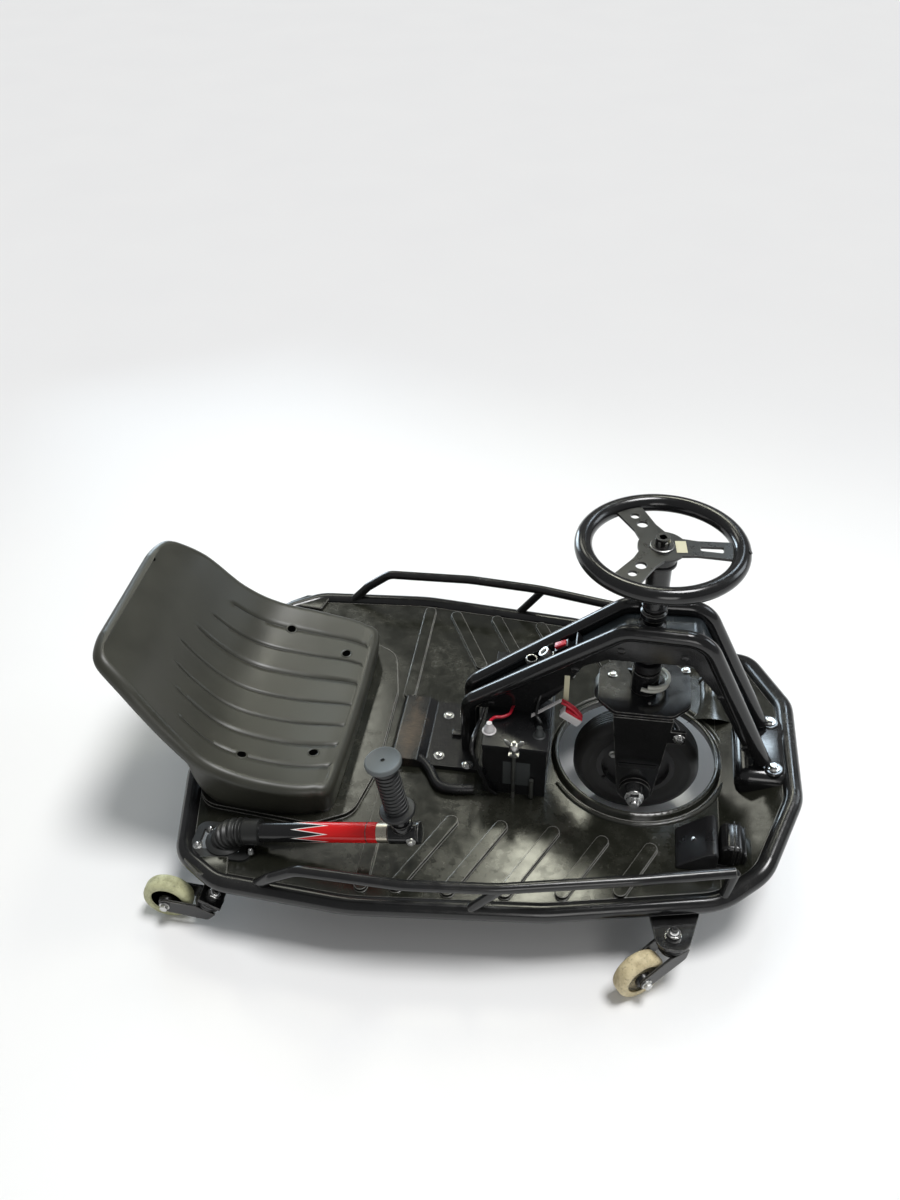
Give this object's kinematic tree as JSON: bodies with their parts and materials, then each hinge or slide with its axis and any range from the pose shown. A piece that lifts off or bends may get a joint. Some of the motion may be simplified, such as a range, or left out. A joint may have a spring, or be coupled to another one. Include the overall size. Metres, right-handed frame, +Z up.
{
  "type": "electric drift kart",
  "caption": "Low ride-on drift kart with a flat deck, bucket seat, steered front drive wheel under an arch, swivel casters and a hand lever that tilts the rear pair.",
  "frame": {"origin": "on the floor under the middle of the kart's bounding box", "axes": "+X forward, +Y to the driver's left, +Z up"},
  "size_m": [1.0739, 0.7698, 0.542],
  "materials": {
    "tube_paint": "gloss",
    "deck_paint": "satin",
    "bar_paint": "gloss",
    "zinc": "satin",
    "chrome": "gloss",
    "fork_steel": "satin",
    "motor_case": "satin",
    "seat_plastic": "satin",
    "pedal_plastic": "matte",
    "switch_plastic": "gloss",
    "battery_case": "satin",
    "rim_plastic": "satin",
    "caster_tread": "satin",
    "grip_foam": "matte",
    "rubber": "matte",
    "tyre": "matte"
  },
  "bodies": {
    "chassis": {"edge_tube": "tube_paint", "deck_pan": "deck_paint", "guard_rail_left": "tube_paint", "guard_rail_right": "tube_paint", "nose_block": "deck_paint", "saddle_plate": "deck_paint", "arch_tube_left": "tube_paint", "arch_tube_right": "tube_paint", "arch_plate_left": "tube_paint", "arch_plate_right": "tube_paint", "arch_panel": "tube_paint", "steering_bearing": "tube_paint", "arch_switches": "switch_plastic", "battery_left": "battery_case", "battery_right": "battery_case", "battery_clamp": "zinc", "seat_shell": "seat_plastic", "seat_posts": "seat_plastic", "pedal": "pedal_plastic", "pedal_housing": "pedal_plastic", "front_bracket_left": "tube_paint", "front_bracket_right": "tube_paint", "drift_boot": "rubber", "boot_flange": "rubber", "underframe": "tube_paint"},
    "steering": {"steering_column": "tube_paint", "steering_wheel": "grip_foam", "steering_spokes": "tube_paint", "drive_fork": "tube_paint", "drive_axle": "chrome", "drive_motor": "motor_case"},
    "drive_wheel": {"drive_tyre": "tyre", "drive_rim": "rim_plastic"},
    "drift": {"drift_axle": "tube_paint", "drift_bar": "bar_paint", "drift_grip": "rubber", "drift_socket": "tube_paint"},
    "front_swivel_left": {"front_fork_left": "fork_steel"},
    "front_wheel_left": {"front_caster_left": "caster_tread"},
    "rear_swivel_left": {"rear_fork_left": "fork_steel"},
    "rear_wheel_left": {"rear_caster_left": "caster_tread"},
    "front_swivel_right": {"front_fork_right": "fork_steel"},
    "front_wheel_right": {"front_caster_right": "caster_tread"},
    "rear_swivel_right": {"rear_fork_right": "fork_steel"},
    "rear_wheel_right": {"rear_caster_right": "caster_tread"}
  },
  "joints": [
    {"name": "steering_turn", "type": "hinge", "parent": "chassis", "child": "steering", "pos_m": [0.287, 0, 0.3], "axis": [0, 0, 1], "continuous": true},
    {"name": "drive_wheel_spin", "type": "hinge", "parent": "steering", "child": "drive_wheel", "pos_m": [0.287, 0, 0.1], "axis": [0, 1, 0], "continuous": true},
    {"name": "drift_lift", "type": "hinge", "parent": "chassis", "child": "drift", "pos_m": [-0.326, 0, 0.0577], "axis": [0, -1, 0], "range_deg": [0, 30], "deforming": ["drift_boot"]},
    {"name": "front_swivel_left_turn", "type": "hinge", "parent": "chassis", "child": "front_swivel_left", "pos_m": [0.349, 0.322, 0.0665], "axis": [0, 0, 1], "continuous": true},
    {"name": "front_wheel_left_spin", "type": "hinge", "parent": "front_swivel_left", "child": "front_wheel_left", "pos_m": [0.30508, 0.3551, 0.038], "axis": [0.6018, 0.7986, 0], "continuous": true},
    {"name": "rear_swivel_left_turn", "type": "hinge", "parent": "drift", "child": "rear_swivel_left", "pos_m": [-0.326, 0.32, 0.0577], "axis": [0.5, 0, 0.866], "continuous": true},
    {"name": "rear_wheel_left_spin", "type": "hinge", "parent": "rear_swivel_left", "child": "rear_wheel_left", "pos_m": [-0.40088, 0.32, 0.038], "axis": [0, 1, 0], "continuous": true},
    {"name": "front_swivel_right_turn", "type": "hinge", "parent": "chassis", "child": "front_swivel_right", "pos_m": [0.349, -0.322, 0.0665], "axis": [0, 0, 1], "continuous": true},
    {"name": "front_wheel_right_spin", "type": "hinge", "parent": "front_swivel_right", "child": "front_wheel_right", "pos_m": [0.30508, -0.3551, 0.038], "axis": [-0.6018, 0.7986, 0], "continuous": true},
    {"name": "rear_swivel_right_turn", "type": "hinge", "parent": "drift", "child": "rear_swivel_right", "pos_m": [-0.326, -0.32, 0.0577], "axis": [0.5, 0, 0.866], "continuous": true},
    {"name": "rear_wheel_right_spin", "type": "hinge", "parent": "rear_swivel_right", "child": "rear_wheel_right", "pos_m": [-0.40088, -0.32, 0.038], "axis": [0, 1, 0], "continuous": true}
  ]
}
